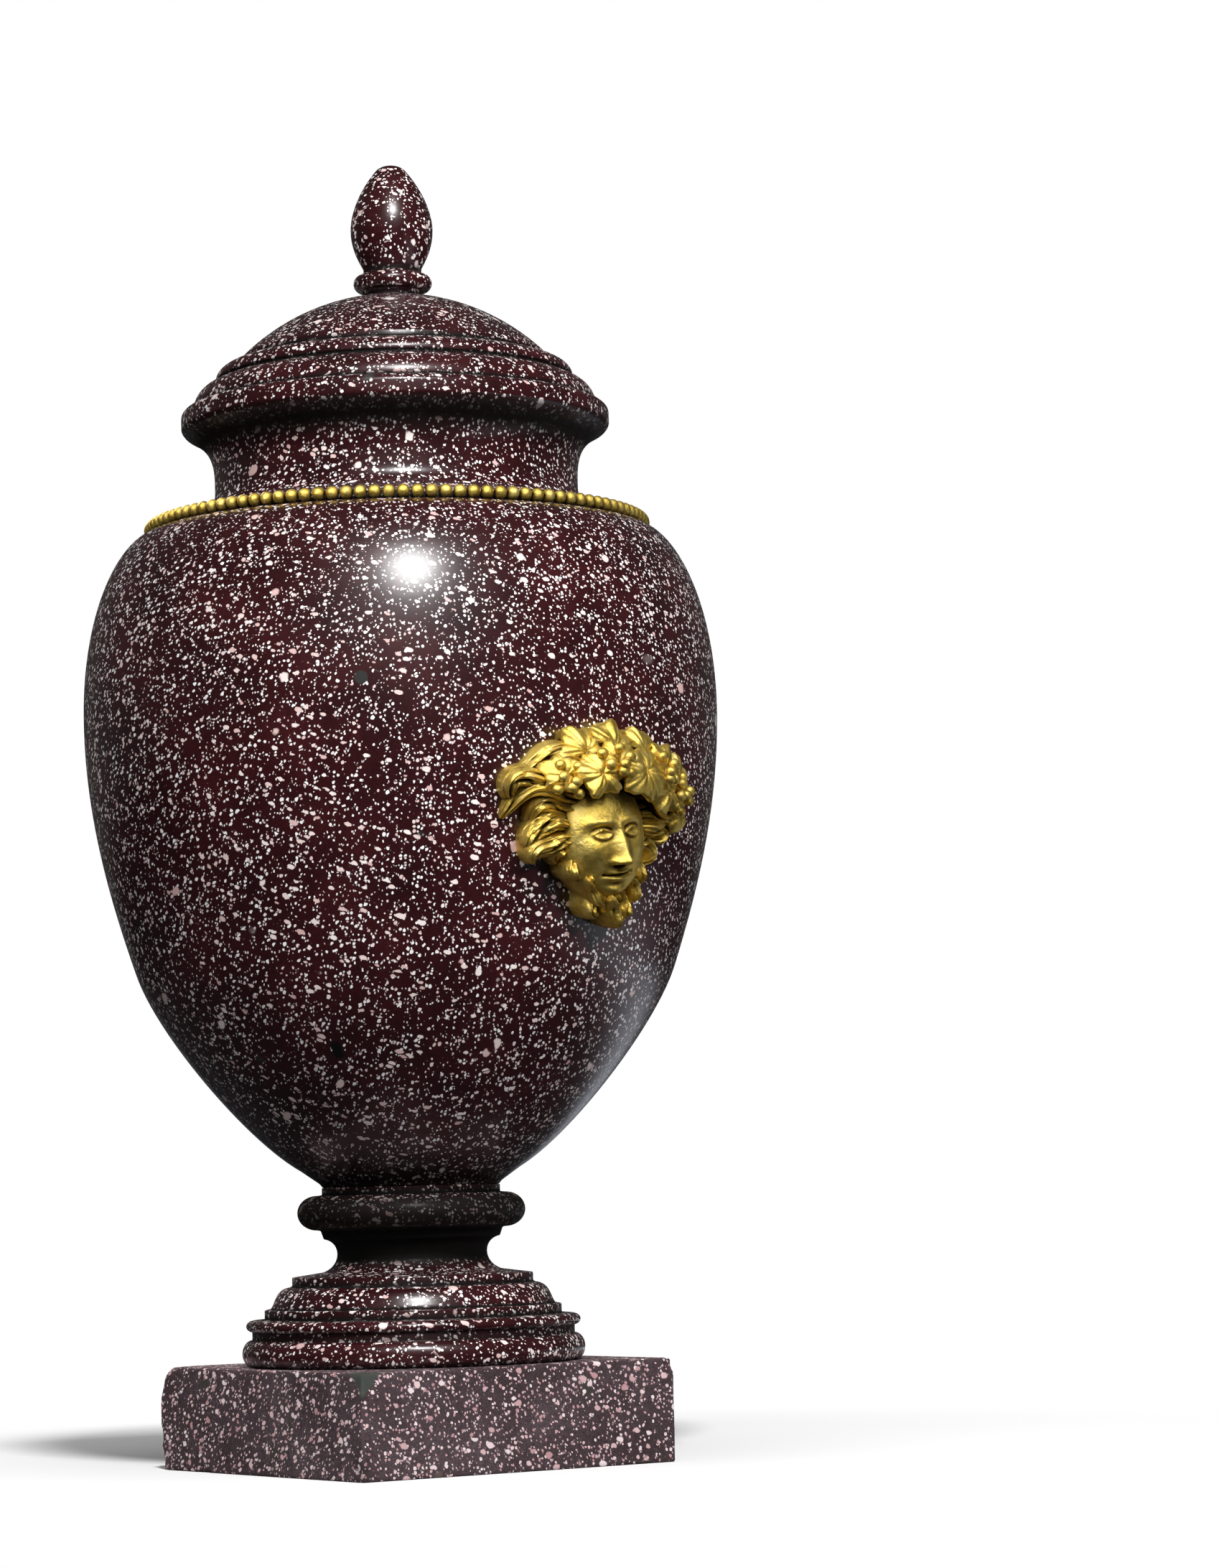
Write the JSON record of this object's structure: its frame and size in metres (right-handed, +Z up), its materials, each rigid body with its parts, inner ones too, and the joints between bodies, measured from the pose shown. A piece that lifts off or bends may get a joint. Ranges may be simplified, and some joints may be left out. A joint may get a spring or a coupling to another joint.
{
  "type": "mantel urn",
  "caption": "Lidded ovoid porphyry urn on a turned foot and square plinth, with a gilt bead ring on the shoulder and gilt wreathed masks on its sides; a mantel ornament.",
  "frame": {"origin": "centre of the plinth's underside", "axes": "+Z up along the urn's axis, +X out of the plinth face below one mask, -Y to the front"},
  "size_m": [0.2768, 0.2332, 0.4815],
  "materials": {
    "stone": "polished porphyry, dark burgundy with white and pink feldspar flecks",
    "plinth_stone": "honed porphyry, greyer ground with larger pink flecks, chipped and rounded at its corners",
    "gilt": "burnished and matt gilding on cast bronze"
  },
  "bodies": {
    "root": {"plinth": "plinth_stone", "foot": "stone", "body": "stone", "lid": "stone", "bead_ring": "gilt", "mask_front": "gilt", "mask_back": "gilt"}
  },
  "joints": []
}
